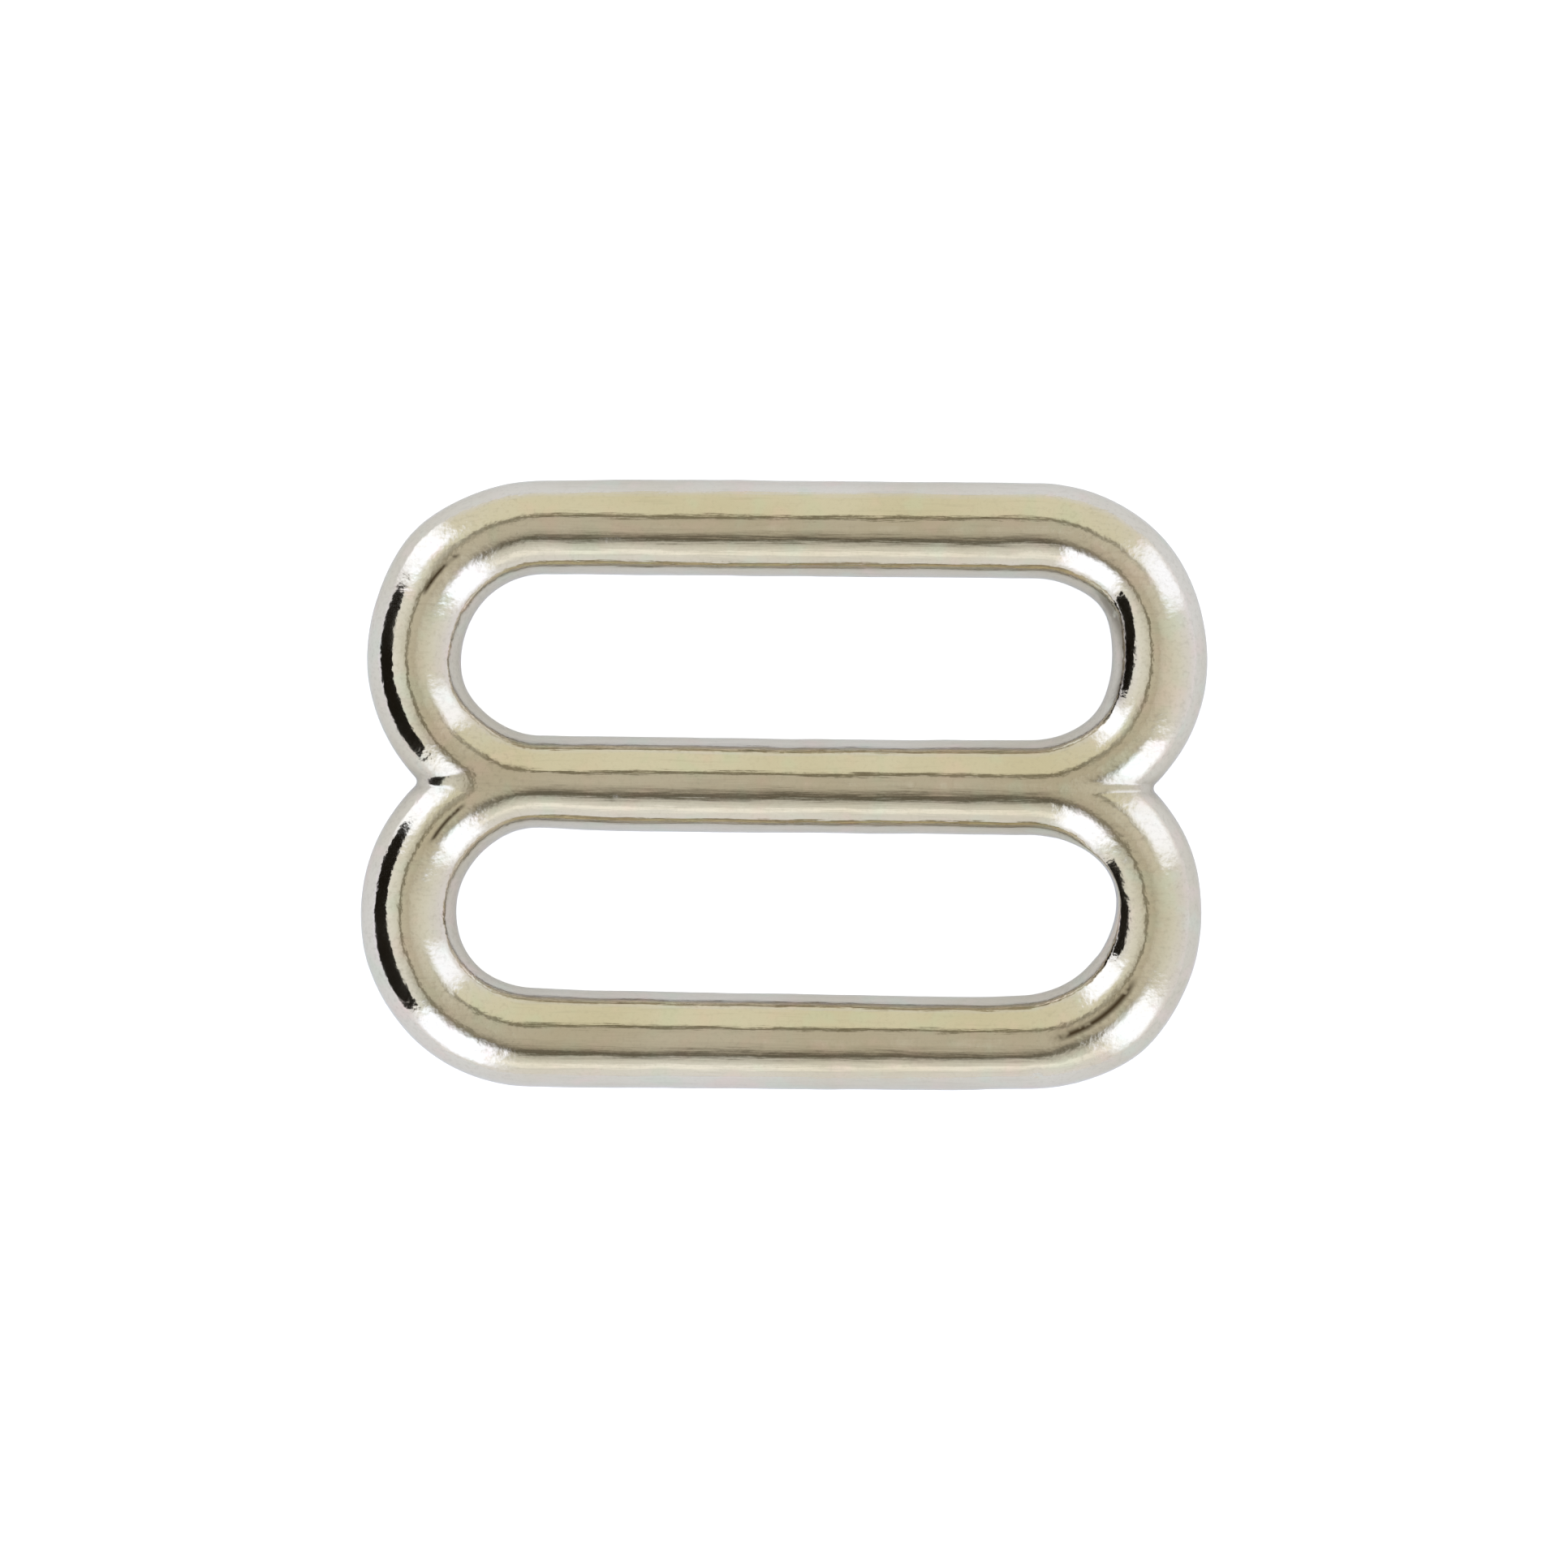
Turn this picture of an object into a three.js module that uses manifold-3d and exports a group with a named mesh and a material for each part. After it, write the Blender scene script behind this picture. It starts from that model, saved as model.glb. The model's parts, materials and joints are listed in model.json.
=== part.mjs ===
// Strap slider: one metal casting in the shape of a figure eight.
//
// Two long rings with round ends lie side by side and share their inner bar. That gives
// an upper bar, a centre bar and a lower bar, joined by two end bends on each side. A
// strap comes up through one slot, passes over the centre bar and goes down the other.
//
// Millimetres, +Z up. The slider lies on its flat back with its rounded face up. X runs
// along the bars, across the strap, and Y runs the way the strap travels. The origin is
// on the back, under the middle of the centre bar.

import * as THREE from 'three';
import { ParametricGeometry } from 'three/addons/geometries/ParametricGeometry.js';
import { mergeVertices } from 'three/addons/utils/BufferGeometryUtils.js';
import Module from 'manifold-3d';

const wasm = await Module();
wasm.setup();

// Driving dimensions
const STRAP_WIDTH = 20;   // clear length of a slot, end to end: the widest strap that passes
const SLOT_WIDTH = 4.94;  // clear width of a slot, bar to bar
const BAR_WIDTH = 2.94;   // width of every bar and bend, seen from the front
const CROWN_RISE = 1.32;  // height of the rounded face above the parting plane
const BACK_DEPTH = 1.08;  // depth of the casting below the parting plane
const BACK_FLAT = 1.4;    // width of the flat strip that the bars rest on

// Fineness of the round surfaces
const CROWN_STEPS = 14;   // facets over the crown, edge to edge
const CORNER_STEPS = 4;   // facets round each lower corner
const BEND_STEPS = 22;    // facets round each half turn

// What follows from the driving dimensions
const BEND_RADIUS = (SLOT_WIDTH + BAR_WIDTH) / 2;    // of a bend, to the bar's centre line
const STRAIGHT_LENGTH = STRAP_WIDTH - SLOT_WIDTH;    // a slot's ends are full half circles

const nickel = new THREE.MeshStandardMaterial({
  name: 'nickel_plate',
  color: 0xc9c2b2,
  roughness: 0.16,
  metalness: 1,
});

// Section of every bar and bend, anticlockwise from its outer edge: a half-elliptic
// crown, then a quarter ellipse down to the flat back and another one up again. x runs
// outwards from the bar's centre line, and y is the height above the back.
function sectionPoints() {
  const halfWidth = BAR_WIDTH / 2;
  const halfFlat = BACK_FLAT / 2;
  const cornerWidth = halfWidth - halfFlat;
  const crown = new THREE.EllipseCurve(
    0, BACK_DEPTH, halfWidth, CROWN_RISE, 0, Math.PI,
  ).getPoints(CROWN_STEPS);
  const innerCorner = new THREE.EllipseCurve(
    -halfFlat, BACK_DEPTH, cornerWidth, BACK_DEPTH, Math.PI, 1.5 * Math.PI,
  ).getPoints(CORNER_STEPS);
  const outerCorner = new THREE.EllipseCurve(
    halfFlat, BACK_DEPTH, cornerWidth, BACK_DEPTH, 1.5 * Math.PI, 2 * Math.PI,
  ).getPoints(CORNER_STEPS);
  return [...crown, ...innerCorner.slice(1), ...outerCorner.slice(0, -1)];
}

// One long ring round the slot whose middle is at `slotY`: the section carried round the
// right bend, along the upper bar in one step, round the left bend and back.
function longRing(slotY) {
  const section = sectionPoints();
  const stationsPerSide = BEND_STEPS + 1;
  const stations = 2 * stationsPerSide;
  const place = (along, around, target) => {
    const station = Math.round(along * stations) % stations;
    const corner = section[Math.round(around * section.length) % section.length];
    const side = station < stationsPerSide ? 1 : -1;
    const turned = Math.PI * (station % stationsPerSide) / BEND_STEPS;
    const angle = turned - side * Math.PI / 2;
    const reach = BEND_RADIUS + corner.x;
    target.set(
      side * STRAIGHT_LENGTH / 2 + reach * Math.cos(angle),
      slotY + reach * Math.sin(angle),
      corner.y,
    );
  };
  return new ParametricGeometry(place, stations, section.length);
}

// A closed three.js geometry as a solid that can be joined to another.
function toSolid(geometry) {
  geometry.deleteAttribute('normal');
  geometry.deleteAttribute('uv');
  const merged = mergeVertices(geometry);
  return new wasm.Manifold(new wasm.Mesh({
    numProp: 3,
    vertProperties: new Float32Array(merged.attributes.position.array),
    triVerts: new Uint32Array(merged.index.array),
  }));
}

// A solid's surface as a three.js geometry.
function toGeometry(solid) {
  const surface = solid.getMesh();
  const geometry = new THREE.BufferGeometry();
  geometry.setAttribute('position', new THREE.BufferAttribute(surface.vertProperties, 3));
  geometry.setIndex(new THREE.BufferAttribute(surface.triVerts, 1));
  geometry.computeVertexNormals();
  return geometry;
}

// The whole casting: the upper and lower rings, run together along the centre bar.
function sliderBody() {
  const upperRing = toSolid(longRing(BEND_RADIUS));
  const lowerRing = toSolid(longRing(-BEND_RADIUS));
  const casting = upperRing.add(lowerRing);
  const mesh = new THREE.Mesh(toGeometry(casting), nickel);
  mesh.name = 'slider_body';
  return mesh;
}

const slider = new THREE.Group();
slider.add(sliderBody());

export default slider;
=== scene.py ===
"""Looks of a strap slider: one bright nickel-plated casting in the shape of a figure eight.

The casting is one continuous skin. Every horizontal slice of it is a figure eight whose bars
are a little narrower the higher the slice lies, so the skin is worked out slice by slice, from
the crest of the bars down the rounded face, past the parting line and under to the flat back.
Sizes are in millimetres and become metres when a mesh is written.
"""

import json
import logging
import math
from dataclasses import dataclass, replace
from enum import Enum

import bpy
import numpy as np
from mathutils import Matrix, Vector


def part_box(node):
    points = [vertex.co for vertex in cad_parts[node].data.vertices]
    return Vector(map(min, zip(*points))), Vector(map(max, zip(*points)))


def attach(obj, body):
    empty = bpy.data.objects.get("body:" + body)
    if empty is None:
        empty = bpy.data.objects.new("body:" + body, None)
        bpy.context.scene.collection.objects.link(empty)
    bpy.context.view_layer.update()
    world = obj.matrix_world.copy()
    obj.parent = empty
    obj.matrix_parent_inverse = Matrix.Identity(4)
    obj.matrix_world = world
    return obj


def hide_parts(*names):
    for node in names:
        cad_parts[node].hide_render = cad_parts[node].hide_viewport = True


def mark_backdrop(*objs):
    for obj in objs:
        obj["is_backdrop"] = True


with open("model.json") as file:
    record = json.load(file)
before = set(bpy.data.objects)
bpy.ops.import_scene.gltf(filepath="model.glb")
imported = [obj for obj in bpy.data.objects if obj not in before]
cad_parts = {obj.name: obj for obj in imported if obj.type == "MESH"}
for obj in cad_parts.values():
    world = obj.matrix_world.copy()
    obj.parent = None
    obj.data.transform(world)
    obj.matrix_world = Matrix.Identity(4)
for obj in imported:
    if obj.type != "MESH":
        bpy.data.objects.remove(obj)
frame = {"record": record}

LOG = logging.getLogger("slider")
MM = 0.001

Colour = tuple[float, float, float]
Array = np.ndarray


class Flank(Enum):
    """The two sides of a bar that a strip of skin can lie on."""

    OUTSIDE = 1
    SLOT = -1


class Compass(Enum):
    """The four sides of the studio, as degrees anticlockwise from the +X side."""

    RIGHT = 0.0
    FAR = 90.0
    LEFT = 180.0
    NEAR = 270.0


# --- Mesh helpers --------------------


@dataclass
class Skin:
    """A triangle mesh in millimetres: points as (n, 3) and corners as (m, 3)."""

    points: Array
    corners: Array

    @staticmethod
    def from_grid(grid: Array, flip: bool) -> "Skin":
        """Turn a grid of points into triangles.

        Args:
            grid: Points as (columns, levels, 3).
            flip: True where the grid's own order would face the skin inwards.

        Returns:
            The grid's skin, two triangles for each cell.
        """
        columns, levels, _ = grid.shape
        index = np.arange(columns * levels).reshape(columns, levels)
        first, second = index[:-1, :-1].ravel(), index[1:, :-1].ravel()
        third, fourth = index[1:, 1:].ravel(), index[:-1, 1:].ravel()
        corners = np.concatenate(
            [np.stack([first, second, third], 1), np.stack([first, third, fourth], 1)]
        )
        if flip:
            corners = corners[:, ::-1]
        return Skin(grid.reshape(-1, 3), corners)

    @staticmethod
    def sewn(parts: list["Skin"], grain: float = 1e-5) -> "Skin":
        """Join skins, make one point of those that coincide and drop collapsed triangles.

        Args:
            parts: The skins to join.
            grain: Points nearer than this, in millimetres, are one point.

        Returns:
            One skin whose triangles share their points.
        """
        offsets = np.cumsum([0] + [len(part.points) for part in parts[:-1]])
        points = np.concatenate([part.points for part in parts])
        corners = np.concatenate([part.corners + o for part, o in zip(parts, offsets)])
        keys = np.round(points / grain).astype(np.int64)
        _, keep, back = np.unique(keys, axis=0, return_index=True, return_inverse=True)
        corners = back.reshape(-1)[corners]
        whole = (
            (corners[:, 0] != corners[:, 1])
            & (corners[:, 1] != corners[:, 2])
            & (corners[:, 2] != corners[:, 0])
        )
        return Skin(points[keep], corners[whole])

    def normals(self) -> Array:
        """Return each point's unit normal, the area-weighted mean of its triangles'."""
        a, b, c = (self.points[self.corners[:, i]] for i in range(3))
        facing = np.cross(b - a, c - a)
        total = np.zeros_like(self.points)
        for i in range(3):
            np.add.at(total, self.corners[:, i], facing)
        return total / np.maximum(np.linalg.norm(total, axis=1, keepdims=True), 1e-12)

    def to_object(self, name: str) -> bpy.types.Object:
        """Write the skin into a smooth-shaded mesh object in metres.

        Args:
            name: The object's and the mesh's name.

        Returns:
            The object, linked into the scene at the origin.
        """
        mesh = bpy.data.meshes.new(name)
        mesh.from_pydata((self.points * MM).tolist(), [], self.corners.tolist())
        mesh.polygons.foreach_set("use_smooth", np.ones(len(mesh.polygons), bool))
        mesh.validate()
        mesh.update()
        piece = bpy.data.objects.new(name, mesh)
        bpy.context.scene.collection.objects.link(piece)
        return piece


def smooth_step(value: Array, start: float, end: float) -> Array:
    """Rise smoothly from 0 at start to 1 at end.

    Args:
        value: The values to place between the two ends.
        start: Where the rise begins.
        end: Where the rise is complete.

    Returns:
        3 t^2 - 2 t^3, where t is the share of the way from start to end.
    """
    share = np.clip((value - start) / (end - start), 0.0, 1.0)
    return share * share * (3.0 - 2.0 * share)


# --- The casting --------------------


@dataclass(frozen=True)
class Outline:
    """Plan sizes of the figure eight, in millimetres."""

    bend_radius: float
    half_bar: float
    half_straight: float
    thickness: float

    @staticmethod
    def from_frame(record: dict, node: str) -> "Outline":
        """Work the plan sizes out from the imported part.

        A slot's middle lies one bend radius from the centre bar's middle, the outer bar's
        middle two, and the part ends half a bar further out.

        Args:
            record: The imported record, whose openings give the slots' places.
            node: The name of the casting's node.

        Returns:
            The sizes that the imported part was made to.
        """
        low, high = (np.array(corner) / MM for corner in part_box(node))
        slot_low, slot_high = np.array(record["physics"]["openings"][0]["box_m"]) / MM
        bend_radius = abs(slot_low[1] + slot_high[1]) / 2
        half_bar = (high[1] - low[1]) / 2 - 2 * bend_radius
        half_straight = (high[0] - low[0]) / 2 - bend_radius - half_bar
        return Outline(bend_radius, half_bar, half_straight, float(high[2] - low[2]))


@dataclass(frozen=True)
class BarSection:
    """Section of every bar: a half-elliptic crown over rounded lower corners and a flat."""

    half_bar: float
    thickness: float
    parting_share: float = 0.45
    half_flat: float = 0.70
    witness: float = 0.009
    witness_spread: float = 0.035
    crown_levels: int = 24
    above_parting: tuple[float, ...] = (5.0, 3.5, 2.3, 1.2, 0.0)
    below_parting: tuple[float, ...] = (1.4, 2.8, 4.4, 7.0, 12.0)
    corner_levels: int = 9
    flat_levels: int = 4

    def levels(self) -> tuple[Array, Array]:
        """Walk down the section from the crest to the middle of the back.

        The crown is a quarter ellipse, the lower corner another one, and the back is
        flat. Where the two halves of the mould met, a low bead stands proud, with a
        bell-shaped profile. The levels lie closer there, at the angles in degrees of
        `above_parting` and `below_parting`.

        Returns:
            The reach from the bar's centre line and the height, both at each level.
        """
        parting = self.parting_share * self.thickness
        crown = np.linspace(90.0, self.above_parting[0], self.crown_levels)
        angles = np.radians(np.concatenate([crown, self.above_parting[1:]]))
        crown_reach = self.half_bar * np.cos(angles)
        crown_height = parting + (self.thickness - parting) * np.sin(angles)
        corner = np.linspace(self.below_parting[-1], 90.0, self.corner_levels)
        turn = np.radians(np.concatenate([self.below_parting[:-1], corner]))
        corner_reach = self.half_flat + (self.half_bar - self.half_flat) * np.cos(turn)
        corner_height = parting * (1.0 - np.sin(turn))
        flat_reach = self.half_flat * np.linspace(1.0, 0.0, self.flat_levels + 1)[1:]
        reach = np.concatenate([crown_reach, corner_reach, flat_reach])
        height = np.concatenate([crown_height, corner_height, np.zeros(self.flat_levels)])
        bead = self.witness * np.exp(-(((height - parting) / self.witness_spread) ** 2))
        reach = reach - self.witness * (reach > self.half_flat) + bead
        reach[0] = 0.0
        return np.maximum(reach, 0.0), height


@dataclass(frozen=True)
class Pit:
    """A small round sink or nick in the skin: its place, size and depth in millimetres."""

    x: float
    y: float
    radius: float
    depth: float


@dataclass(frozen=True)
class Rub:
    """A crest that straps have rubbed a little flatter, in millimetres.

    `row` tells which bar it is on, from 1 for the far bar to -1 for the near bar, and
    `offset` how far from the bar's middle the rubbing is centred.
    """

    row: int
    offset: float
    half_wide: float
    depth: float


@dataclass(frozen=True)
class Nudge:
    """A place where an edge of the casting is a little out of true in plan.

    The edge at (x, y) is moved by `shift` towards `bearing`, in degrees anticlockwise from
    +X, and its neighbourhood less and less, out to about twice `wide` to either side.
    Sizes are in millimetres.
    """

    x: float
    y: float
    bearing: float
    wide: float
    shift: float


@dataclass(frozen=True)
class Shave:
    """A stretch of the near slot's right end, cut back to a steep wall by the trimming tool.

    The cut is `depth` deep at `bearing`, and less and less to about twice `half_turn` on
    either side. It takes hold between the two shares of its depth in `hold`. Sizes are in
    millimetres and turns in degrees.
    """

    bearing: float
    half_turn: float
    depth: float
    rounding: float = 0.02
    hold: tuple[float, float] = (0.02, 0.20)


@dataclass
class SliderCasting:
    """The slider's one casting: three bars and four end bends in a single skin."""

    outline: Outline
    section: BarSection
    crest_fillet: float = 0.62
    right_crest_fillet: float = 0.24
    notch_fillet: float = 0.20
    fillet_falloff: float = 2.5
    straight_columns: int = 80
    bend_columns: int = 116
    fillet_columns: int = 10
    saddle_columns: int = 22
    saddle_rows: int = 6
    skew: float = 0.0165
    nudges: tuple[Nudge, ...] = (
        Nudge(10.10, -2.90, 20.0, 1.60, -0.11),
        Nudge(8.20, -6.30, -72.0, 1.20, -0.07),
        Nudge(11.08, -7.96, -48.0, 1.50, 0.12),
        Nudge(7.40, -9.35, -90.0, 1.50, -0.07),
        Nudge(12.87, -3.90, 0.0, 1.60, -0.045),
        Nudge(9.50, 5.50, 38.0, 0.95, 0.12),
        Nudge(9.43, 2.29, -42.0, 0.95, 0.07),
        Nudge(12.92, 4.88, 10.0, 2.20, -0.075),
        Nudge(11.60, 4.30, 5.0, 1.70, -0.08),
        Nudge(10.45, 4.00, 0.0, 1.50, -0.08),
        Nudge(-11.49, 7.56, 138.0, 1.60, 0.13),
        Nudge(-7.60, 9.35, 90.0, 1.40, -0.055),
        Nudge(-9.80, 3.05, 200.0, 1.00, 0.085),
        Nudge(-7.50, -1.48, 95.0, 1.80, 0.09),
        Nudge(-8.00, -6.40, 260.0, 1.30, -0.06),
        Nudge(1.50, 1.47, 90.0, 7.00, -0.055),
        Nudge(-6.00, -6.41, 90.0, 3.00, 0.05),
        Nudge(5.50, -6.41, 90.0, 3.00, -0.05),
    )
    nudge_depth: float = 0.8
    shave: Shave = Shave(22.0, 36.0, 0.39)
    rubs: tuple[Rub, ...] = (Rub(-1, 0.0, 0.50, 0.032), Rub(0, -0.24, 0.34, 0.010))
    rub_fade: tuple[float, float] = (-1.0, 2.0)
    frost_rise: tuple[float, float] = (-0.6, 1.6)
    ripple_slope: float = 0.016
    ripple_waves: int = 90
    ripple_lengths: tuple[float, float] = (0.9, 4.5)
    seed: int = 11
    pits: tuple[Pit, ...] = (
        Pit(7.95, -8.90, 0.17, 0.030),
        Pit(4.95, 0.05, 0.13, 0.010),
        Pit(3.95, 0.03, 0.10, 0.006),
        Pit(-5.30, -0.42, 0.08, 0.004),
        Pit(-3.18, -0.44, 0.08, 0.004),
        Pit(-1.06, -0.45, 0.08, 0.004),
        Pit(-2.70, -8.16, 0.09, 0.006),
        Pit(-0.58, -8.13, 0.09, 0.005),
        Pit(-8.94, -8.28, 0.09, 0.010),
        Pit(-9.90, 5.10, 0.12, 0.010),
        Pit(10.60, -2.30, 0.10, 0.008),
    )
    ejector_radius: float = 0.55
    ejector_rim: float = 0.12
    ejector_depth: float = 0.022
    ejector_bearing: float = 45.0

    def fillet_radius(self, reach: Array) -> Array:
        """Work out the radius of the fillet between the two rings.

        It is wide at the crest, where the rings run together in a flat saddle, and falls
        with a power of the share of the way down to the narrow fillet of the notch.

        Args:
            reach: Plan distances from a bar's centre line, one for each level.

        Returns:
            The fillet's radius at each level.
        """
        share = np.clip(1.0 - reach / self.section.half_bar, 0.0, 1.0)
        rise = self.crest_fillet - self.notch_fillet
        return self.notch_fillet + rise * share**self.fillet_falloff

    def saddle_turn(self) -> float:
        """Angle below +X at which the crest line and the saddle's fillet touch."""
        radius = self.outline.bend_radius
        return math.asin(radius / (radius + self.crest_fillet))

    def bend_angles(self) -> Array:
        """Angles of the slot strip's columns round a bend, from +Y to -Y."""
        turn = self.saddle_turn()
        outer = np.linspace(math.pi / 2, -turn, self.bend_columns + 1)
        steps = self.fillet_columns + self.saddle_columns
        return np.concatenate([outer, np.linspace(-turn, -math.pi / 2, steps + 1)[1:]])

    def outside_quarter(self) -> Array:
        """Lay out the far right quarter of the outside flank.

        Each level's edge runs along the far bar, round the bend on a circle about the
        slot's end, and then round a small fillet circle that touches both rings' circles
        and ends square to the middle line.

        Returns:
            Points as (columns, levels, 3).
        """
        radius, run = self.outline.bend_radius, self.outline.half_straight
        reach, height = self.section.levels()
        fillet = self.fillet_radius(reach)
        lean = np.arcsin(radius / (radius + reach + fillet))
        fillet_x = run + np.sqrt((radius + reach + fillet) ** 2 - radius**2)

        along = np.linspace(0.0, run, self.straight_columns + 1)[:-1, None]
        bar_x = along + 0.0 * reach
        bar_y = 2 * radius + reach + 0.0 * along

        share = np.linspace(0.0, 1.0, self.bend_columns + 1)[:, None]
        angle = math.pi / 2 - share * (math.pi / 2 + lean)
        bend_x = run + (radius + reach) * np.cos(angle)
        bend_y = radius + (radius + reach) * np.sin(angle)

        share = np.linspace(0.0, 1.0, self.fillet_columns + 1)[1:, None]
        angle = math.pi - lean * (1.0 - share)
        notch_x = fillet_x + fillet * np.cos(angle)
        notch_y = fillet * np.sin(angle)
        notch_y[-1] = 0.0

        x = np.concatenate([bar_x, bend_x, notch_x])
        y = np.concatenate([bar_y, bend_y, notch_y])
        return np.stack([x, y, height + 0.0 * x], 2)

    def slot_half(self) -> Array:
        """Lay out the right half of the far slot's flank.

        Each level's edge runs along the far bar, round a half circle about the slot's end
        and back along the centre bar.

        Returns:
            Points as (columns, levels, 3).
        """
        radius, run = self.outline.bend_radius, self.outline.half_straight
        reach, height = self.section.levels()
        along = np.linspace(0.0, run, self.straight_columns + 1)[:-1, None]
        angle = self.bend_angles()[:, None]
        bend_x = run + (radius - reach) * np.cos(angle)
        bend_y = radius + (radius - reach) * np.sin(angle)
        bend_x[[0, -1]] = run
        bend_y[-1] = reach
        x = np.concatenate([along + 0.0 * reach, bend_x, along[::-1] + 0.0 * reach])
        y = np.concatenate(
            [2 * radius - reach + 0.0 * along, bend_y, reach + 0.0 * along[::-1]]
        )
        return np.stack([x, y, height + 0.0 * x], 2)

    def saddle_quarter(self, height: float) -> Array:
        """Lay out the far right quarter of the flat saddle where the two rings part.

        Straight rows run from the upper ring's crest line to the middle line, which the
        fillet's arc closes off towards the notch.

        Args:
            height: Height of the flat.

        Returns:
            Points as (columns, rows, 3).
        """
        radius, run = self.outline.bend_radius, self.outline.half_straight
        turn, fillet = self.saddle_turn(), self.crest_fillet
        angle = self.bend_angles()[self.bend_columns :]
        crest = np.stack([run + radius * np.cos(angle), radius + radius * np.sin(angle)], 1)
        crest[-1] = (run, 0.0)
        share = np.linspace(0.0, 1.0, self.fillet_columns + 1)
        angle = math.pi - turn * (1.0 - share)
        middle_x = run + math.sqrt((radius + fillet) ** 2 - radius**2)
        arc = np.stack([middle_x + fillet * np.cos(angle), fillet * np.sin(angle)], 1)
        arc[-1, 1] = 0.0
        back = np.linspace(arc[-1, 0], run, self.saddle_columns + 1)[1:]
        edge = np.concatenate([arc, np.stack([back, np.zeros_like(back)], 1)])
        share = np.linspace(0.0, 1.0, self.saddle_rows + 1)[None, :, None]
        plan = crest[:, None] * (1.0 - share) + edge[:, None] * share
        return np.concatenate([plan, np.full((*plan.shape[:2], 1), height)], 2)

    def plain_skin(self) -> Skin:
        """Mirror all strips left to right and far to near, and sew them into one skin."""
        parts = []
        for side, crest_fillet in ((1, self.right_crest_fillet), (-1, self.crest_fillet)):
            half = replace(self, crest_fillet=crest_fillet)
            strips = (
                (Flank.OUTSIDE, half.outside_quarter()),
                (Flank.SLOT, half.slot_half()),
                (Flank.OUTSIDE, half.saddle_quarter(self.outline.thickness)),
                (Flank.SLOT, half.saddle_quarter(0.0)),
            )
            for flank, grid in strips:
                for end in (1, -1):
                    mirrored = grid * np.array([side, end, 1.0])
                    parts.append(Skin.from_grid(mirrored, side * end * flank.value < 0))
        return Skin.sewn(parts)

    def ripple(self, points: Array) -> Array:
        """Give the plated skin its orange peel.

        It is a sum of flat waves in random directions. Each wave's height is in
        proportion to its length, so that all of them tilt the skin alike.

        Args:
            points: The skin's points.

        Returns:
            The height of the ripple at each point, in millimetres.
        """
        draw = np.random.default_rng(self.seed)
        low, high = np.log(self.ripple_lengths)
        lengths = np.exp(draw.uniform(low, high, self.ripple_waves))
        heading = draw.normal(size=(self.ripple_waves, 3))
        heading /= np.linalg.norm(heading, axis=1, keepdims=True)
        phase = draw.uniform(0.0, 2 * math.pi, self.ripple_waves)
        waves = heading * (2 * math.pi / lengths)[:, None]
        tilt = self.ripple_slope * math.sqrt(2.0 / self.ripple_waves)
        return np.cos(points @ waves.T + phase) @ (tilt * lengths / (2 * math.pi))

    def sinks(self, points: Array, normals: Array) -> Array:
        """Sink the pits and the ejector marks into the skin.

        A pit is a bell-shaped dip about its place on the face. An ejector mark is a flat
        round dip with a soft rim on the back, behind the middle of each end bend.

        Args:
            points: The skin's points.
            normals: The skin's normals, which tell the face from the back.

        Returns:
            How far each point moves along its normal, in millimetres: zero or less.
        """
        depth = np.zeros(len(points))
        for pit in self.pits:
            away = np.hypot(points[:, 0] - pit.x, points[:, 1] - pit.y)
            facing = smooth_step(normals[:, 2], -0.1, 0.2)
            depth -= facing * pit.depth * np.exp(-((away / pit.radius) ** 2))
        run, radius = self.outline.half_straight, self.outline.bend_radius
        turn = math.radians(self.ejector_bearing)
        mark_x, mark_y = run + radius * math.cos(turn), radius + radius * math.sin(turn)
        away = np.hypot(np.abs(points[:, 0]) - mark_x, np.abs(points[:, 1]) - mark_y)
        facing = smooth_step(-normals[:, 2], 0.95, 0.999)
        inner = self.ejector_radius - self.ejector_rim
        rim = 1.0 - smooth_step(away, inner, self.ejector_radius)
        return depth - facing * rim * self.ejector_depth

    def wear(self, points: Array, normals: Array) -> Array:
        """Rub the crests of the worn bars a little flatter.

        Each rubbed dip is bell-shaped across its bar and fades out in the bends.

        Args:
            points: The skin's points.
            normals: The skin's normals, which tell the face from the back.

        Returns:
            How far each point moves along its normal, in millimetres: zero or less.
        """
        run, radius = self.outline.half_straight, self.outline.bend_radius
        start, end = self.rub_fade
        along = 1.0 - smooth_step(np.abs(points[:, 0]), run + start, run + end)
        facing = smooth_step(normals[:, 2], 0.0, 0.3)
        dip = np.zeros(len(points))
        for rub in self.rubs:
            across = (points[:, 1] - 2 * radius * rub.row - rub.offset) / rub.half_wide
            dip -= rub.depth * np.exp(-(across**2))
        return dip * facing * along

    def out_of_true(self, points: Array) -> Array:
        """Distort the casting in plan as cooling left it.

        Each nudge is bell-shaped, both along its edge and inwards from it. The lower ring
        also lies a little further left than the upper one, in proportion to the distance
        from the middle.

        Args:
            points: The skin's points.

        Returns:
            How far each point moves in x and y, in millimetres, as (n, 2).
        """
        move = np.stack([self.skew * points[:, 1], np.zeros(len(points))], 1)
        for nudge in self.nudges:
            turn = math.radians(nudge.bearing)
            toward = np.array([math.cos(turn), math.sin(turn)])
            aside = np.array([-math.sin(turn), math.cos(turn)])
            away = points[:, :2] - np.array([nudge.x, nudge.y])
            inward, along = away @ toward / self.nudge_depth, away @ aside / nudge.wide
            share = np.exp(-(inward**2) - along**2)
            move += share[:, None] * toward * nudge.shift
        return move

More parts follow.
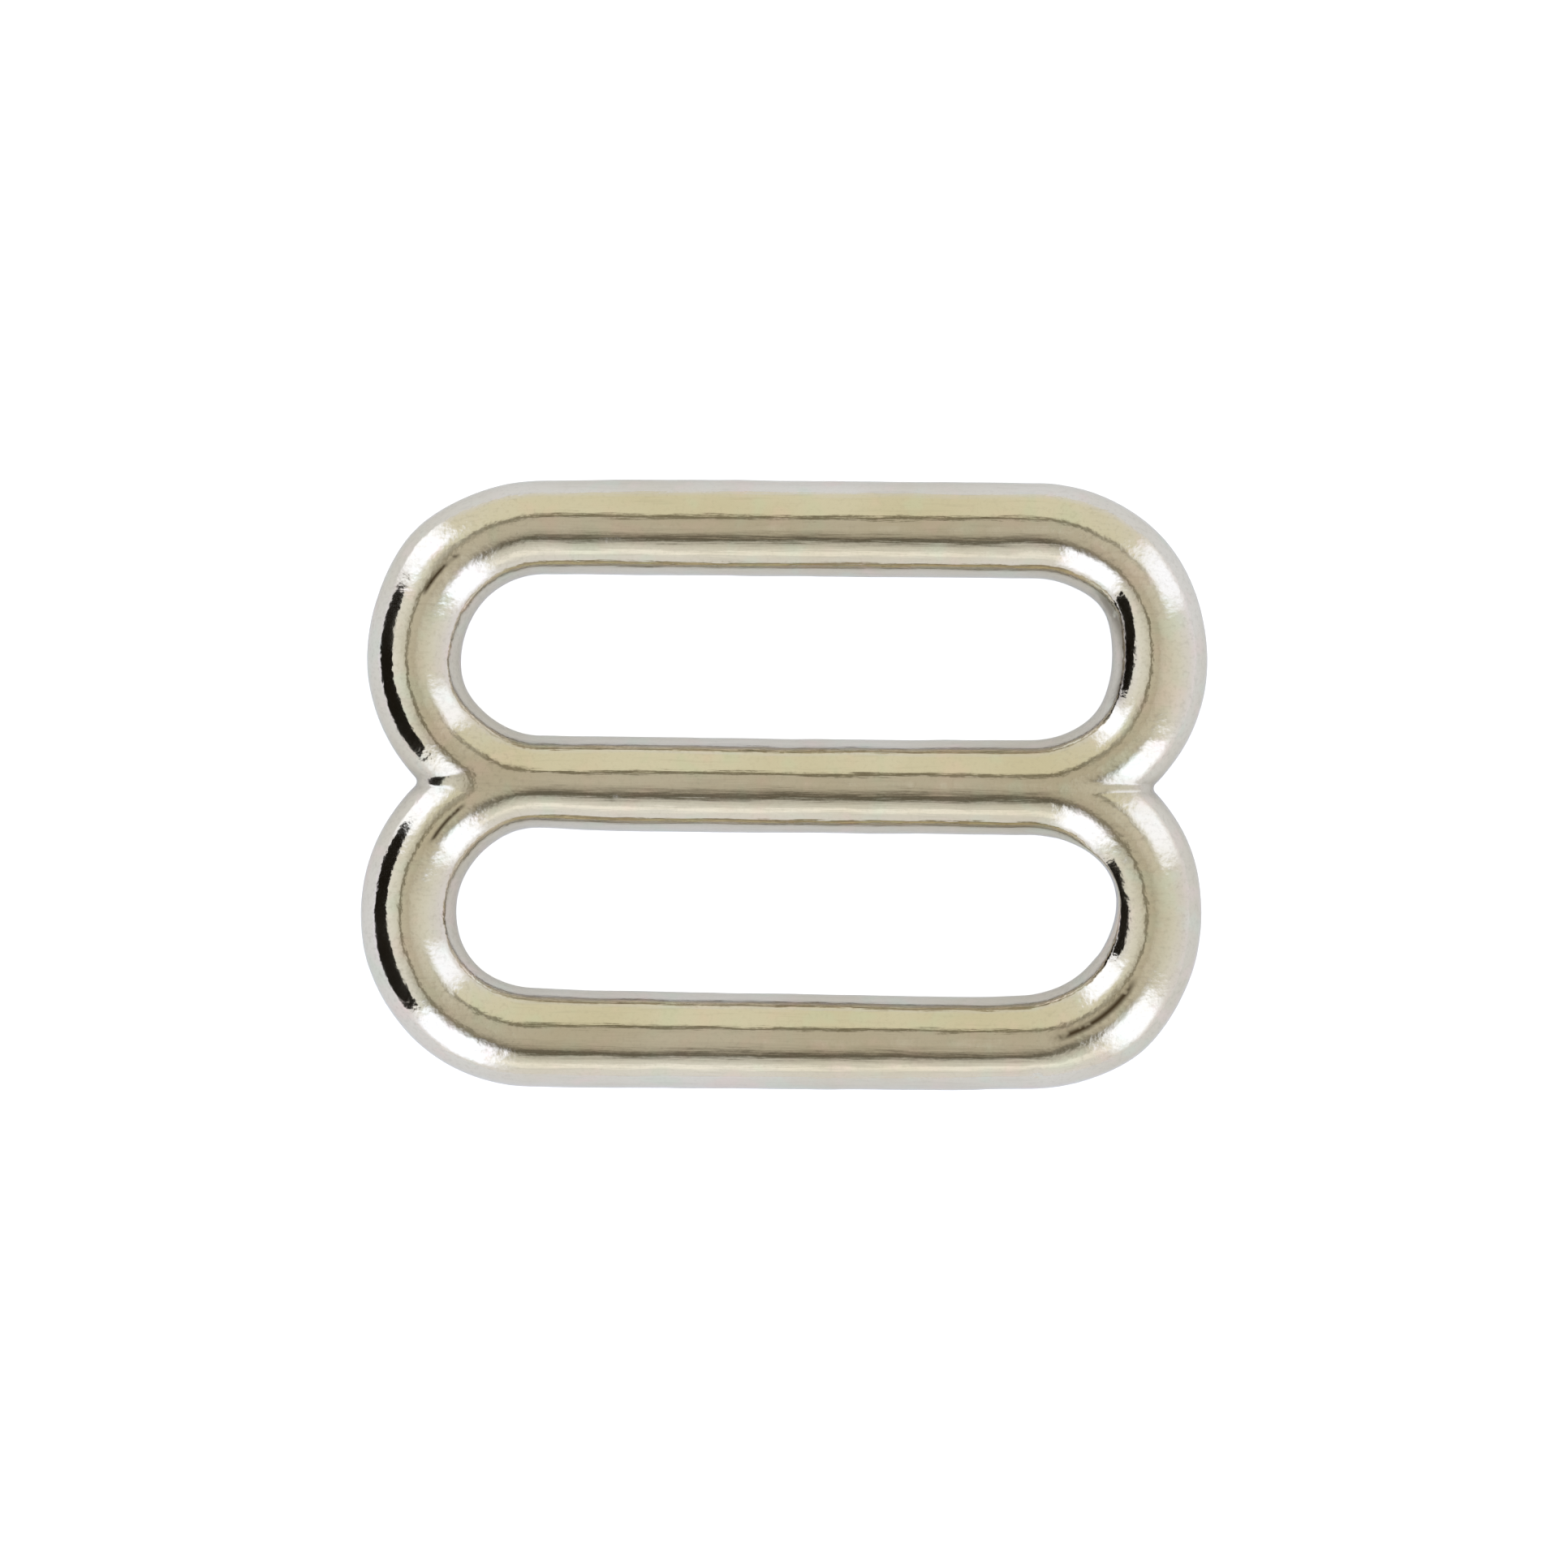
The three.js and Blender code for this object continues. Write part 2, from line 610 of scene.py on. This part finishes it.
    def shaved(self, points: Array) -> Array:
        """Cut the shaved stretch of slot edge back.

        Where the cut holds, no point of that ring lies nearer the slot's middle than the
        cut. Points near it are pushed out along a soft hinge, which rounds the wall's edge.

        Args:
            points: The skin's points.

        Returns:
            Every point's x and y, as (n, 2).
        """
        cut, radius = self.shave, self.outline.bend_radius
        middle = np.array([self.outline.half_straight - self.skew * radius, -radius])
        away = points[:, :2] - middle
        reach = np.maximum(np.hypot(away[:, 0], away[:, 1]), 1e-9)
        turn = np.degrees(np.arctan2(away[:, 1], away[:, 0])) - cut.bearing
        share = np.exp(-((turn / cut.half_turn) ** 2))
        wall = radius - self.outline.half_bar + cut.depth * share
        hinge = wall + cut.rounding * np.logaddexp(0.0, (reach - wall) / cut.rounding)
        hold = smooth_step(share, *cut.hold) * (reach < radius)
        scale = 1.0 + (hinge / reach - 1.0) * hold
        return middle + away * scale[:, None]

    def valley(self, points: Array) -> Array:
        """Tell how deep in the notch between the two rings each point lies, from 0 to 1."""
        run, radius = self.outline.half_straight, self.outline.bend_radius
        beyond = smooth_step(np.abs(points[:, 0]), run + 1.0, run + 0.8 * radius)
        near = 1.0 - smooth_step(np.abs(points[:, 1]), 0.05, 0.55)
        return beyond * near

    def frosting(self, points: Array) -> Array:
        """Tell how frosted the skin is: 0 along the bars, where straps rub, 1 in the bends."""
        run, (start, end) = self.outline.half_straight, self.frost_rise
        return smooth_step(np.abs(points[:, 0]), run + start, run + end)

    def build(self) -> bpy.types.Object:
        """Build the finished casting.

        The relief moves the skin along its normals. Where it is all but level, it moves
        straight up or down, so that the thin triangles of the saddles' tips can't fold.

        Returns:
            The casting as one mesh object, with the attributes its finish reads.
        """
        skin = self.plain_skin()
        normals = skin.normals()
        level = smooth_step(normals[:, 2], 0.985, 0.999)[:, None]
        normals = normals + (np.array([0.0, 0.0, 1.0]) - normals) * level
        flat_back = smooth_step(-normals[:, 2], 0.97, 0.999)
        relief = self.ripple(skin.points) * (1.0 - 0.7 * flat_back)
        relief += self.sinks(skin.points, normals) + self.wear(skin.points, normals)
        valley, frosting = self.valley(skin.points), self.frosting(skin.points)
        relief = np.where(flat_back > 0.5, np.minimum(relief, 0.0), relief)
        skin.points = skin.points + normals * relief[:, None]
        skin.points[:, :2] += self.out_of_true(skin.points)
        skin.points[:, :2] = self.shaved(skin.points)
        piece = skin.to_object("slider_casting")
        for name, value in (("valley", valley), ("frosting", frosting)):
            attribute = piece.data.attributes.new(name, "FLOAT", "POINT")
            attribute.data.foreach_set("value", value.astype(np.float32))
        return piece


# --- Finishes --------------------


class NodeSheet:
    """A small helper that places and joins shader nodes in one tree."""

    def __init__(self, tree: bpy.types.NodeTree) -> None:
        """Start with an empty tree.

        Args:
            tree: The tree to fill.
        """
        self.tree = tree
        tree.nodes.clear()

    def add(self, kind: str, inputs: dict | None = None, **settings: object) -> bpy.types.Node:
        """Add one node.

        Args:
            kind: The node's type name.
            inputs: Socket names or numbers, each with a value or a socket to join to it.
            **settings: The node's own settings.

        Returns:
            The new node.
        """
        node = self.tree.nodes.new(kind)
        for name, value in settings.items():
            setattr(node, name, value)
        for key, value in (inputs or {}).items():
            socket = node.inputs[key]
            if isinstance(value, bpy.types.NodeSocket):
                self.tree.links.new(value, socket)
            else:
                socket.default_value = value
        return node

    def noise(self, place: bpy.types.NodeSocket, size: float, detail: float) -> bpy.types.Node:
        """Add a noise whose blotches are about `size` millimetres across."""
        inputs = {"Vector": place, "Scale": 1.0 / (size * MM), "Detail": detail}
        return self.add("ShaderNodeTexNoise", inputs)

    def spread(
        self, value: bpy.types.NodeSocket, start: float, end: float, low: float, high: float
    ) -> bpy.types.NodeSocket:
        """Carry a value from the range start..end smoothly to low..high."""
        inputs = {"Value": value, "From Min": start, "From Max": end}
        inputs.update({"To Min": low, "To Max": high})
        node = self.add("ShaderNodeMapRange", inputs, interpolation_type="SMOOTHSTEP")
        return node.outputs["Result"]

    def maths(
        self, operation: str, first: object, second: object = 0.0
    ) -> bpy.types.NodeSocket:
        """Join two numbers or sockets with one arithmetic operation."""
        node = self.add("ShaderNodeMath", {0: first, 1: second}, operation=operation)
        return node.outputs["Value"]

    def blend(self, share: object, first: object, second: object) -> bpy.types.NodeSocket:
        """Mix two colours: all of the first at 0, all of the second at 1."""
        inputs = {"Factor": share, 6: first, 7: second}
        node = self.add("ShaderNodeMix", inputs, data_type="RGBA")
        return node.outputs[2]


def opaque(colour: Colour) -> tuple[float, float, float, float]:
    """Add full opacity to a colour."""
    return (*colour, 1.0)


@dataclass(frozen=True)
class PaintedReflectionLine:
    """A ragged dark reflection painted along a bend, an arc in plan.

    Its circle's centre, radius and half width are in millimetres. `bearing` is where the
    middle of the mark lies, in degrees anticlockwise from +X, and `half_turn` how far it
    reaches to either side.
    """

    centre: tuple[float, float]
    radius: float
    bearing: float
    half_turn: float
    half_wide: float
    strength: float
    raggedness: float = 0.45

    def share(self, sheet: NodeSheet, place: bpy.types.NodeSocket) -> bpy.types.NodeSocket:
        """Tell where the painted reflection is: its strength on the arc's line, and 0 away from it.

        Args:
            sheet: The finish's nodes.
            place: The place on the object, in metres.

        Returns:
            The product of a soft line across the arc, a soft end at either side and a
            noise that breaks the mark up.
        """
        middle = (self.centre[0] * MM, self.centre[1] * MM, 0.0)
        away = sheet.add("ShaderNodeVectorMath", {0: place, 1: middle}, operation="SUBTRACT")
        flat = sheet.add(
            "ShaderNodeVectorMath",
            {0: away.outputs["Vector"], 1: (1.0, 1.0, 0.0)},
            operation="MULTIPLY",
        ).outputs["Vector"]
        reach = sheet.add("ShaderNodeVectorMath", {0: flat}, operation="LENGTH").outputs["Value"]
        aside = sheet.maths("ABSOLUTE", sheet.maths("SUBTRACT", reach, self.radius * MM))
        line = sheet.spread(aside, 0.0, self.half_wide * MM, self.strength, 0.0)
        level = sheet.add("ShaderNodeVectorMath", {0: flat}, operation="NORMALIZE")
        turn = math.radians(self.bearing)
        toward = (math.cos(turn), math.sin(turn), 0.0)
        faced = sheet.add(
            "ShaderNodeVectorMath",
            {0: level.outputs["Vector"], 1: toward},
            operation="DOT_PRODUCT",
        ).outputs["Value"]
        end_out = math.cos(math.radians(self.half_turn))
        end_in = math.cos(math.radians(0.6 * self.half_turn))
        line = sheet.maths("MULTIPLY", line, sheet.spread(faced, end_out, end_in, 0.0, 1.0))
        ragged = sheet.noise(place, self.raggedness, 2.0).outputs["Fac"]
        return sheet.maths("MULTIPLY", line, sheet.spread(ragged, 0.36, 0.50, 0.35, 1.0))


@dataclass(frozen=True)
class NickelPlate:
    """Bright nickel over a tumbled casting: warm silver, almost a mirror, faintly grained.

    The bends are frosted all over. The bars, which straps slide along, are calmer and
    carry fine streaks along their length. Sizes and heights are in millimetres.
    """

    bright: Colour = (0.690, 0.640, 0.562)
    warm: Colour = (0.640, 0.582, 0.478)
    mossy: Colour = (0.625, 0.640, 0.535)
    rosy: Colour = (0.730, 0.610, 0.545)
    shade: Colour = (0.400, 0.360, 0.300)
    cloud_size: float = 4.5
    blush_size: float = 1.1
    blush: float = 0.60
    grain_stain: float = 0.22
    streak_stain: float = 0.16
    # how much darker the colour grows towards the notch's crease between the two rings
    valley_darkening: float = 0.30
    smooth: float = 0.060
    dull: float = 0.120
    valley_haze: float = 0.10
    haze_size: float = 1.6
    grain_size: float = 0.13
    grain_height: float = 0.0036
    peel_size: float = 0.45
    peel_height: float = 0.0125
    calm: float = 0.42
    streak_size: float = 0.11
    streak_stretch: float = 0.07
    streak_height: float = 0.0050
    # near-black colour of the dark reflections painted along the bends
    reflection_black: Colour = (0.085, 0.060, 0.035)
    # painted dark reflections: thin dark lines along the bends' crests
    painted_reflections: tuple[PaintedReflectionLine, ...] = (
        PaintedReflectionLine((-7.62, 3.82), 3.985, 139.0, 14.0, 0.120, 1.0),
        PaintedReflectionLine((-7.44, -3.76), 3.872, 139.0, 13.0, 0.105, 0.95),
        PaintedReflectionLine((7.44, -3.98), 3.800, -54.0, 27.0, 0.190, 1.0),
        PaintedReflectionLine((7.595, 3.94), 2.800, 10.0, 44.0, 0.250, 0.62),
    )

    def material(self) -> bpy.types.Material:
        """Make the finish's material.

        Returns:
            A metal whose tint, gloss and relief come from noises at several scales. Its colour
            grows darker towards the notch's crease and carries dark reflections painted along the
            bends.
        """
        material = bpy.data.materials.new("nickel_plate")
        material.use_nodes = True
        sheet = NodeSheet(material.node_tree)
        place = sheet.add("ShaderNodeTexCoord").outputs["Object"]
        valley = sheet.add("ShaderNodeAttribute", attribute_name="valley").outputs["Fac"]
        frosting = sheet.add("ShaderNodeAttribute", attribute_name="frosting").outputs["Fac"]

        cloud = sheet.noise(place, self.cloud_size, 3.0).outputs["Fac"]
        tint = sheet.blend(
            sheet.spread(cloud, 0.35, 0.68, 0.0, 1.0), opaque(self.bright), opaque(self.warm)
        )
        stretched = sheet.add(
            "ShaderNodeVectorMath",
            {0: place, 1: (self.streak_stretch, 1.0, 1.0)},
            operation="MULTIPLY",
        ).outputs["Vector"]
        tinge = sheet.noise(place, self.blush_size, 2.0).outputs["Fac"]
        greener = sheet.spread(tinge, 0.30, 0.46, self.blush, 0.0)
        pinker = sheet.spread(tinge, 0.54, 0.72, 0.0, self.blush)
        tint = sheet.blend(greener, tint, opaque(self.mossy))
        tint = sheet.blend(pinker, tint, opaque(self.rosy))
        streak = sheet.noise(stretched, self.streak_size, 2.0).outputs["Fac"]
        grain_tone = sheet.noise(place, self.grain_size, 2.0).outputs["Fac"]
        stain_and_darkening = sheet.maths(
            "MULTIPLY",
            sheet.spread(grain_tone, 0.50, 0.72, 0.0, self.grain_stain),
            sheet.spread(frosting, 0.0, 1.0, 0.45, 1.0),
        )
        streaked = sheet.spread(streak, 0.52, 0.75, 0.0, self.streak_stain)
        stain_and_darkening = sheet.maths("ADD", stain_and_darkening, streaked)
        # darker towards the notch's crease between the two rings
        stain_and_darkening = sheet.maths("ADD", stain_and_darkening, sheet.maths("MULTIPLY", valley, self.valley_darkening))
        colour = sheet.blend(stain_and_darkening, tint, opaque(self.shade))
        # paint the dark reflections along the bends into the colour
        for reflection_line in self.painted_reflections:
            colour = sheet.blend(reflection_line.share(sheet, place), colour, opaque(self.reflection_black))

        haze = sheet.noise(place, self.haze_size, 4.0).outputs["Fac"]
        gloss = sheet.spread(haze, 0.30, 0.72, self.smooth, self.dull)
        gloss = sheet.maths("ADD", gloss, sheet.maths("MULTIPLY", valley, self.valley_haze))

        rough = sheet.spread(frosting, 0.0, 1.0, self.calm, 1.0)
        peel = sheet.maths(
            "MULTIPLY", rough, sheet.noise(place, self.peel_size, 2.0).outputs["Fac"]
        )
        grain = sheet.maths("MULTIPLY", rough, grain_tone)
        rubbed = sheet.spread(frosting, 0.0, 1.0, 1.0, 0.15)
        lines = sheet.maths("MULTIPLY", rubbed, streak)
        coarse = sheet.add(
            "ShaderNodeBump", {"Height": peel, "Strength": 1.0, "Distance": self.peel_height * MM}
        )
        fine = sheet.add(
            "ShaderNodeBump",
            {
                "Height": grain,
                "Strength": 1.0,
                "Distance": self.grain_height * MM,
                "Normal": coarse.outputs["Normal"],
            },
        )
        combed = sheet.add(
            "ShaderNodeBump",
            {
                "Height": lines,
                "Strength": 1.0,
                "Distance": self.streak_height * MM,
                "Normal": fine.outputs["Normal"],
            },
        )
        shader = sheet.add(
            "ShaderNodeBsdfPrincipled",
            {
                "Base Color": colour,
                "Metallic": 1.0,
                "Roughness": gloss,
                "Normal": combed.outputs["Normal"],
            },
        )
        sheet.add("ShaderNodeOutputMaterial", {"Surface": shader.outputs["BSDF"]})
        return material


@dataclass(frozen=True)
class PaperFinish:
    """Matt pale paper for the floor, lit from below so that the camera sees it pure white."""

    colour: Colour = (0.88, 0.905, 0.99)
    roughness: float = 0.9
    glow: float = 0.05
    brightening: float = 0.56

    def material(self) -> bpy.types.Material:
        """Make the finish's material, matt and without a pattern."""
        material = bpy.data.materials.new("paper")
        material.use_nodes = True
        sheet = NodeSheet(material.node_tree)
        seen = sheet.add("ShaderNodeLightPath").outputs["Is Camera Ray"]
        shader = sheet.add(
            "ShaderNodeBsdfPrincipled",
            {
                "Base Color": opaque(self.colour),
                "Roughness": self.roughness,
                "Specular IOR Level": 0.1,
                "Emission Color": opaque((1.0, 1.0, 1.0)),
                "Emission Strength": sheet.spread(
                    seen, 0.0, 1.0, self.glow, self.glow + self.brightening
                ),
            },
        )
        sheet.add("ShaderNodeOutputMaterial", {"Surface": shader.outputs["BSDF"]})
        return material


@dataclass(frozen=True)
class CardFinish:
    """Dead black card."""

    colour: Colour = (0.012, 0.010, 0.007)

    def material(self) -> bpy.types.Material:
        """Make the finish's material: a fixed, almost black tone."""
        material = bpy.data.materials.new("black_card")
        material.use_nodes = True
        sheet = NodeSheet(material.node_tree)
        shader = sheet.add("ShaderNodeEmission", {"Color": opaque(self.colour), "Strength": 1.0})
        sheet.add("ShaderNodeOutputMaterial", {"Surface": shader.outputs["Emission"]})
        return material


# --- Studio --------------------


@dataclass(frozen=True)
class RoomSide:
    """What one side of the room looks like from straight overhead down to the horizon."""

    compass: Compass
    stops: tuple[tuple[float, Colour], ...]


@dataclass(frozen=True)
class Softbox:
    """A soft white lamp on the room's wall, bright in the middle and fading at its edges.

    Angles are in degrees: `bearing` is anticlockwise from +X, `top` and `bottom` are
    measured from overhead, and the edges fade over twice `soft`.
    """

    bearing: float
    half_wide: float
    top: float
    bottom: float
    soft: float
    colour: Colour


@dataclass(frozen=True)
class DarkCard:
    """A dark card curled about the slider's left side, nearest and lowest at its far end.

    Sizes are in millimetres, and the two ends are degrees anticlockwise from +X.
    """

    far_end: float = 155.0
    near_end: float = 217.0
    far_radius: float = 60.0
    near_radius: float = 160.0
    far_low: float = 6.5
    near_low: float = 17.0
    far_high: float = 37.0
    near_high: float = 153.0
    corner: float = 0.35
    columns: int = 60
    rows: int = 8

    def build(self) -> bpy.types.Object:
        """Bend the card: a spiral in plan that grows in height with its radius.

        Its distance and its height both grow by a steady ratio along it, and its corners
        are rounded off.

        Returns:
            The card, which only the metal's reflections see.
        """
        share = np.linspace(-1.0, 1.0, self.columns + 1)[:, None]
        along = (share + 1.0) / 2
        angle = np.radians(self.far_end + (self.near_end - self.far_end) * along)
        radius = self.far_radius * (self.near_radius / self.far_radius) ** along
        low = self.far_low * (self.near_low / self.far_low) ** along
        high = self.far_high * (self.near_high / self.far_high) ** along
        draw_in = self.corner * (high - low) / 2 * share**8
        rise = np.linspace(0.0, 1.0, self.rows + 1)[None, :]
        z = low + draw_in + (high - low - 2 * draw_in) * rise
        x, y = radius * np.cos(angle) + 0.0 * z, radius * np.sin(angle) + 0.0 * z
        card = Skin.from_grid(np.stack([x, y, z], 2), True).to_object("dark_card")
        card.data.materials.append(CardFinish().material())
        card.visible_camera = False
        card.visible_diffuse = False
        card.visible_shadow = False
        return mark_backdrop(card) or card


OVERHEAD: Colour = (0.66, 0.625, 0.505)
KHAKI: Colour = (0.905, 0.885, 0.675)
LAMP_WHITE: Colour = (1.64, 1.78, 2.10)
LAMP_PALE: Colour = (1.42, 1.52, 1.74)


@dataclass
class Studio:
    """A pale floor, a beige room with four soft white lamps, a dark card and the camera.

    The floor's half size is in metres, and the view's sizes are in millimetres.
    """

    floor_half: float = 3.0
    floor_drop: float = 0.004
    floor_lines: int = 13
    backdrop: Colour = (1.0, 1.0, 1.0)
    sides: tuple[RoomSide, ...] = (
        RoomSide(
            Compass.RIGHT,
            (
                (0.0, OVERHEAD),
                (4.0, (0.74, 0.72, 0.61)),
                (14.0, (0.83, 0.815, 0.70)),
                (28.0, (0.885, 0.895, 0.79)),
                (44.0, (0.93, 0.95, 0.88)),
                (66.0, (0.95, 0.97, 0.99)),
                (90.0, (1.01, 1.03, 1.16)),
            ),
        ),
        RoomSide(
            Compass.FAR,
            (
                (0.0, OVERHEAD),
                (18.0, OVERHEAD),
                (21.8, (0.24, 0.22, 0.15)),
                (25.4, (0.27, 0.24, 0.16)),
                (30.5, KHAKI),
                (74.0, KHAKI),
                (90.0, (0.90, 0.91, 0.85)),
            ),
        ),
        RoomSide(
            Compass.LEFT,
            (
                (0.0, OVERHEAD),
                (13.0, (0.72, 0.69, 0.56)),
                (15.5, (0.26, 0.24, 0.17)),
                (18.5, (0.26, 0.24, 0.17)),
                (22.0, (0.84, 0.84, 0.74)),
                (30.0, (0.92, 0.94, 0.87)),
                (46.0, (1.02, 1.04, 1.00)),
                (90.0, (1.00, 1.03, 1.20)),
            ),
        ),
        RoomSide(
            Compass.NEAR,
            (
                (0.0, OVERHEAD),
                (9.0, (0.60, 0.57, 0.46)),
                (16.0, (0.42, 0.39, 0.31)),
                (22.0, (0.18, 0.16, 0.12)),
                (27.0, (0.16, 0.15, 0.11)),
                (35.0, (0.62, 0.62, 0.56)),
                (44.0, (0.82, 0.83, 0.76)),
                (53.0, (0.92, 0.93, 0.87)),
                (60.0, (1.24, 1.25, 1.18)),
                (69.0, (0.96, 0.98, 0.95)),
                (90.0, (0.95, 0.96, 0.98)),
            ),
        ),
    )
    lamps: tuple[Softbox, ...] = (
        Softbox(140.0, 10.0, 40.0, 92.0, 8.5, LAMP_WHITE),
        Softbox(32.0, 8.5, 30.0, 82.0, 10.0, LAMP_PALE),
        Softbox(239.0, 13.0, 28.0, 80.0, 8.5, LAMP_WHITE),
        Softbox(316.0, 10.0, 26.0, 80.0, 10.0, LAMP_WHITE),
    )
    card: DarkCard = DarkCard()
    view_width: float = 48.18
    view_height: float = 1.08
    view_shift: tuple[float, float] = (-0.032, 0.030)
    roll: float = 0.0089
    lens: float = 200.0
    sensor: float = 36.0

    def build_floor(self) -> bpy.types.Object:
        """Lay the floor: a flat square grid just under the slider."""
        steps = np.linspace(-self.floor_half, self.floor_half, self.floor_lines) / MM
        x, y = np.meshgrid(steps, steps, indexing="ij")
        z = np.full_like(x, -self.floor_drop)
        floor = Skin.from_grid(np.stack([x, y, z], 2), False)
        piece = floor.to_object("floor")
        piece.data.materials.append(PaperFinish().material())
        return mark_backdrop(piece) or piece

    def side_colour(
        self, sheet: NodeSheet, tilt: bpy.types.NodeSocket, side: RoomSide
    ) -> bpy.types.NodeSocket:
        """Colour one side of the room by the angle from overhead."""
        ramp = sheet.add("ShaderNodeValToRGB", {"Fac": tilt})
        elements = ramp.color_ramp.elements
        while len(elements) < len(side.stops):
            elements.new(0.5)
        for element, (angle, colour) in zip(elements, side.stops):
            element.position = angle / 90.0
            element.color = opaque(colour)
        return ramp.outputs["Color"]

    def build_room(self) -> None:
        """Paint the room that the metal mirrors.

        The four sides' colours are mixed by how squarely each side is faced, the square
        of the cosine of the bearing from it. Each lamp then covers its own patch, and the
        camera itself sees a plain white backdrop.
        """
        world = bpy.data.worlds.new("room")
        world.use_nodes = True
        bpy.context.scene.world = world
        sheet = NodeSheet(world.node_tree)
        heading = sheet.add("ShaderNodeTexCoord").outputs["Generated"]
        parts = sheet.add("ShaderNodeSeparateXYZ", {"Vector": heading}).outputs
        tilt = sheet.maths("DIVIDE", sheet.maths("ARCCOSINE", parts["Z"]), math.pi / 2)
        flat = sheet.add("ShaderNodeCombineXYZ", {"X": parts["X"], "Y": parts["Y"]})
        level = sheet.add(
            "ShaderNodeVectorMath", {0: flat.outputs["Vector"]}, operation="NORMALIZE"
        ).outputs["Vector"]
        room = None
        for side in self.sides:
            faced = self.faced(sheet, level, side.compass.value)
            share = sheet.maths("POWER", sheet.maths("MAXIMUM", faced, 0.0), 2.0)
            scaled = sheet.add(
                "ShaderNodeVectorMath",
                {0: self.side_colour(sheet, tilt, side), "Scale": share},
                operation="SCALE",
            ).outputs["Vector"]
            if room is None:
                room = scaled
            else:
                room = sheet.add(
                    "ShaderNodeVectorMath", {0: room, 1: scaled}, operation="ADD"
                ).outputs["Vector"]
        for lamp in self.lamps:
            room = sheet.blend(self.lamp_share(sheet, level, tilt, lamp), room, opaque(lamp.colour))
        seen = sheet.add("ShaderNodeLightPath").outputs["Is Camera Ray"]
        colour = sheet.blend(seen, room, opaque(self.backdrop))
        background = sheet.add("ShaderNodeBackground", {"Color": colour, "Strength": 1.0})
        sheet.add("ShaderNodeOutputWorld", {"Surface": background.outputs["Background"]})

    def faced(
        self, sheet: NodeSheet, level: bpy.types.NodeSocket, bearing: float
    ) -> bpy.types.NodeSocket:
        """Cosine of the angle in plan between a direction and a bearing in degrees."""
        turn = math.radians(bearing)
        toward = (math.cos(turn), math.sin(turn), 0.0)
        node = sheet.add("ShaderNodeVectorMath", {0: level, 1: toward}, operation="DOT_PRODUCT")
        return node.outputs["Value"]

    def lamp_share(
        self,
        sheet: NodeSheet,
        level: bpy.types.NodeSocket,
        tilt: bpy.types.NodeSocket,
        lamp: Softbox,
    ) -> bpy.types.NodeSocket:
        """Tell where a lamp is: 1 in its middle, 0 off it, fading at its edges.

        Args:
            sheet: The world's nodes.
            level: The direction in plan, of unit length.
            tilt: The angle from overhead, as a share of a right angle.
            lamp: The lamp.

        Returns:
            The product of a soft step across the lamp and one at its top and bottom.
        """
        edge_out = math.cos(math.radians(lamp.half_wide + lamp.soft))
        edge_in = math.cos(math.radians(max(lamp.half_wide - lamp.soft, 0.0)))
        across = sheet.spread(self.faced(sheet, level, lamp.bearing), edge_out, edge_in, 0.0, 1.0)
        soft = lamp.soft / 90.0
        top, bottom = lamp.top / 90.0, lamp.bottom / 90.0
        below = sheet.spread(tilt, top - soft, top + soft, 0.0, 1.0)
        above = sheet.spread(tilt, bottom - soft, bottom + soft, 1.0, 0.0)
        return sheet.maths("MULTIPLY", across, sheet.maths("MULTIPLY", below, above))

    def build_camera(self) -> bpy.types.Object:
        """Hang the camera straight over the slider, turned by the small roll.

        Its distance makes the view `view_width` wide at the height of the bars' edges.

        Returns:
            The camera, made the scene's own.
        """
        data = bpy.data.cameras.new("overhead_camera")
        data.lens = self.lens
        data.sensor_width = self.sensor
        data.clip_start = 0.01
        data.clip_end = 20.0
        camera = bpy.data.objects.new("overhead_camera", data)
        distance = self.view_width * self.lens / self.sensor
        spot = Vector((self.view_shift[0], self.view_shift[1], self.view_height + distance))
        turn = Matrix.Rotation(self.roll, 4, "Z")
        camera.matrix_world = Matrix.Translation(spot * MM) @ turn
        bpy.context.scene.collection.objects.link(camera)
        bpy.context.scene.camera = camera
        return camera

    def build(self) -> None:
        """Set up the whole studio."""
        self.build_camera()
        self.build_floor()
        self.card.build()
        self.build_room()
        bpy.context.scene.view_settings.view_transform = "Standard"
        bpy.context.scene.view_settings.look = "None"


# --- Assembly --------------------


def main() -> None:
    """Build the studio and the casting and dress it."""
    logging.basicConfig(level=logging.INFO, format="%(name)s: %(message)s")
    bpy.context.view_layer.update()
    Studio().build()
    outline = Outline.from_frame(frame["record"], "slider_body")
    section = BarSection(outline.half_bar, outline.thickness)
    casting = SliderCasting(outline, section).build()
    casting.data.materials.append(NickelPlate().material())
    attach(casting, "root")
    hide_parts("slider_body")
    LOG.info("%s: %d triangles", casting.name, len(casting.data.polygons))


if __name__ == "__main__":
    main()
